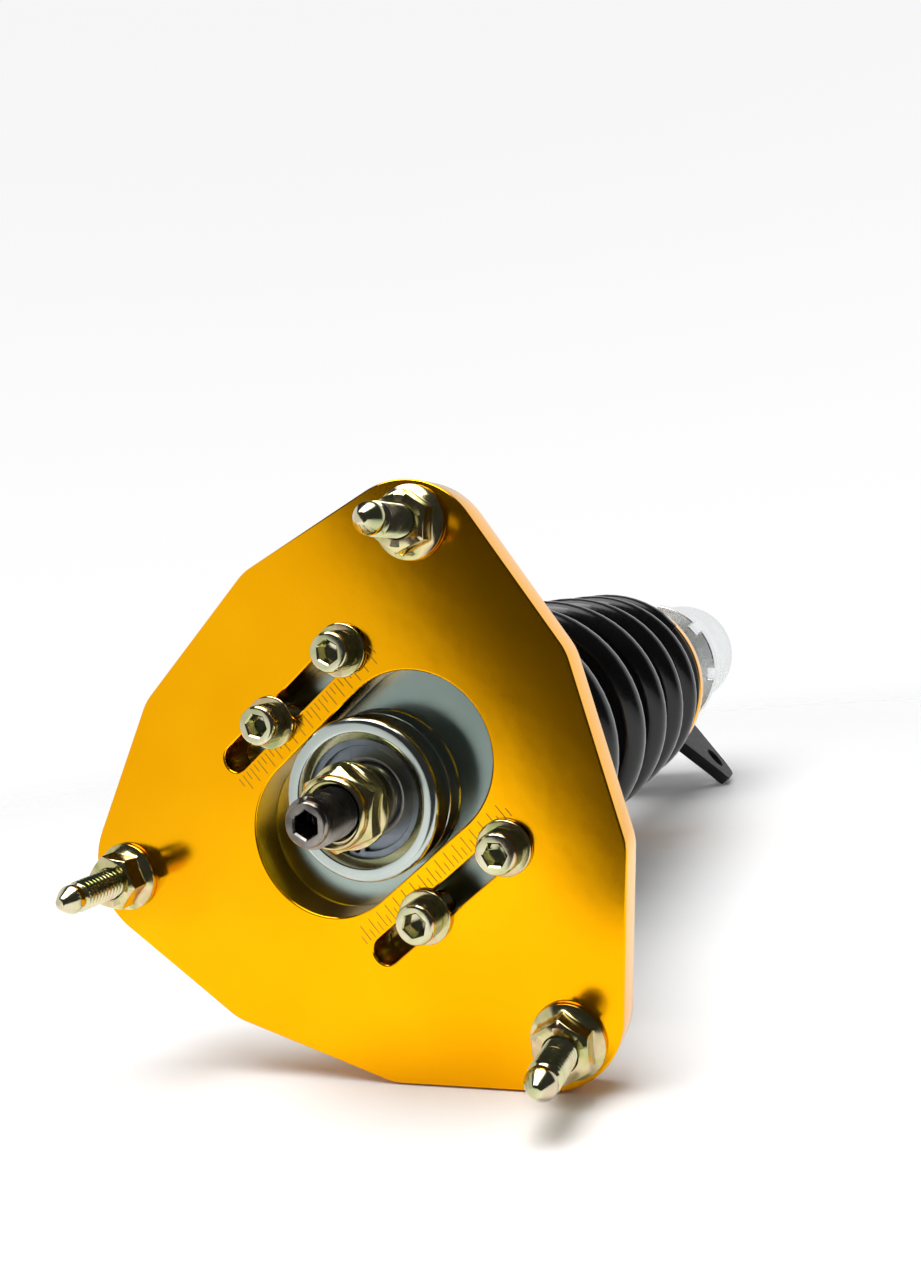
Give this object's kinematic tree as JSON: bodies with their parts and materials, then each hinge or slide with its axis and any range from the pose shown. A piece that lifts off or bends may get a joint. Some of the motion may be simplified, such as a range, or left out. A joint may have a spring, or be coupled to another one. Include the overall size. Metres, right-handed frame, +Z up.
{
  "type": "coilover strut",
  "caption": "MacPherson coilover strut with a three-stud camber plate, spherical top bearing, coil spring on a threaded damper body, and a two-bolt knuckle bracket.",
  "frame": {"origin": "centre of the circle through the three tower studs, on the top plate's upper face, which bolts up against the strut tower", "axes": "+Z up along the strut and out through the tower, +X along the camber slots, towards the end where the bearing cup sits in the slots"},
  "size_m": [0.147, 0.1462, 0.483],
  "materials": {
    "gold_anodised": "bright gold anodised, satin",
    "yellow_zinc": "yellow passivated zinc, slightly iridescent",
    "clear_zinc": "clear bluish zinc",
    "dark_steel": "dark phosphated steel",
    "bearing_steel": "ground bearing steel",
    "ptfe_liner": "woven PTFE liner",
    "rod_chrome": "hard chromed and ground",
    "damper_silver": "bright zinc plated and turned aluminium",
    "black_anodised": "black anodised",
    "spring_black": "gloss black powder coat",
    "bracket_black": "gloss black paint",
    "boot_rubber": "moulded black rubber",
    "bump_foam": "cream polyurethane foam",
    "cage_nylon": "brown moulded nylon",
    "slip_nylon": "black nylon"
  },
  "bodies": {
    "top_plate": {"top_plate": "gold_anodised", "tower_studs": "yellow_zinc", "tower_nuts": "yellow_zinc"},
    "camber_carrier": {"camber_carrier": "clear_zinc", "camber_screws": "yellow_zinc", "camber_washers": "yellow_zinc", "bearing_race": "dark_steel", "bearing_snap_ring": "dark_steel"},
    "race_liner": {"race_liner": "ptfe_liner"},
    "piston_rod": {"bearing_ball": "bearing_steel", "upper_spacer": "yellow_zinc", "lower_spacer": "yellow_zinc", "rod_nut": "yellow_zinc", "piston_rod": "rod_chrome", "upper_thrust_washer": "bearing_steel", "bump_stop": "bump_foam", "damper_piston": "damper_silver", "piston_band": "ptfe_liner", "compression_shims": "bearing_steel", "rebound_shims": "bearing_steel", "piston_nut": "bearing_steel"},
    "adjuster": {"adjuster_needle": "bearing_steel"},
    "thrust_cage": {"thrust_needles": "bearing_steel", "thrust_cage": "cage_nylon"},
    "spring_seat": {"lower_thrust_washer": "bearing_steel", "upper_spring_seat": "gold_anodised", "spring": "spring_black", "dust_boot": "boot_rubber"},
    "damper": {"damper_body": "damper_silver", "gland_nut": "black_anodised", "rod_wiper": "boot_rubber", "rod_seal": "boot_rubber", "rod_guide": "damper_silver", "base_plug": "damper_silver", "gas_valve_screw": "yellow_zinc"},
    "floating_piston": {"floating_piston": "damper_silver", "floating_piston_ring": "boot_rubber"},
    "slip_washer": {"spring_slip_washer": "slip_nylon"},
    "lower_perch": {"lower_perch": "gold_anodised"},
    "perch_lock_ring": {"perch_lock_ring": "clear_zinc"},
    "lower_bracket": {"bracket_sleeve": "clear_zinc", "knuckle_ears": "bracket_black", "ear_webs": "bracket_black", "brake_hose_tab": "bracket_black", "link_tab": "bracket_black"},
    "bracket_lock_ring": {"bracket_lock_ring": "clear_zinc"}
  },
  "joints": [
    {"name": "camber_slide", "type": "slide", "parent": "top_plate", "child": "camber_carrier", "axis": [1, 0, 0], "range_m": [-0.0145, 0.0035]},
    {"name": "tilt_across_camber", "type": "hinge", "parent": "camber_carrier", "child": "race_liner", "pos_m": [0.0054, 0.0011, -0.00525], "axis": [1, 0, 0], "range_deg": [-7, 7]},
    {"name": "tilt_along_camber", "type": "hinge", "parent": "race_liner", "child": "piston_rod", "pos_m": [0.0054, 0.0011, -0.00525], "axis": [0, 1, 0], "range_deg": [-7, 7]},
    {"name": "damping_adjuster", "type": "hinge", "parent": "piston_rod", "child": "adjuster", "pos_m": [0.0054, 0.0011, 0.02], "axis": [0, 0, 1], "range_deg": [0, 990]},
    {"name": "steer_swivel", "type": "hinge", "parent": "piston_rod", "child": "spring_seat", "pos_m": [0.0054, 0.0011, -0.03], "axis": [0, 0, 1], "continuous": true},
    {"name": "cage_roll", "type": "hinge", "parent": "piston_rod", "child": "thrust_cage", "pos_m": [0.0054, 0.0011, -0.03], "axis": [0, 0, 1], "continuous": true},
    {"name": "stroke", "type": "slide", "parent": "spring_seat", "child": "slip_washer", "axis": [0, 0, 1], "range_m": [0, 0.08], "stiffness_N_per_m": 58800, "springref_m": -0.006, "deforming": ["spring", "dust_boot"]},
    {"name": "gas_piston", "type": "slide", "parent": "damper", "child": "floating_piston", "axis": [0, 0, -1], "range_m": [0, 0.018]},
    {"name": "perch_height", "type": "slide", "parent": "slip_washer", "child": "damper", "axis": [0, 0, -1], "range_m": [-0.012, 0.003]},
    {"name": "perch_turn", "type": "hinge", "parent": "slip_washer", "child": "lower_perch", "pos_m": [0.0054, 0.0011, -0.26], "axis": [0, 0, 1], "range_deg": [-2161, 541]},
    {"name": "perch_ring_height", "type": "slide", "parent": "lower_perch", "child": "perch_lock_ring", "axis": [0, 0, 1], "range_m": [-0.01, 0]},
    {"name": "bracket_height", "type": "slide", "parent": "damper", "child": "lower_bracket", "axis": [0, 0, 1], "range_m": [-0.03, 0.012]},
    {"name": "bracket_ring_height", "type": "slide", "parent": "lower_bracket", "child": "bracket_lock_ring", "axis": [0, 0, 1], "range_m": [0, 0.012]}
  ],
  "couplings": [
    {"joint": "cage_roll", "follows": "steer_swivel", "ratio": 0.5},
    {"joint": "gas_piston", "follows": "stroke", "ratio": 0.1975},
    {"joint": "perch_turn", "follows": "perch_height", "rad_per_m": 3141.6}
  ]
}
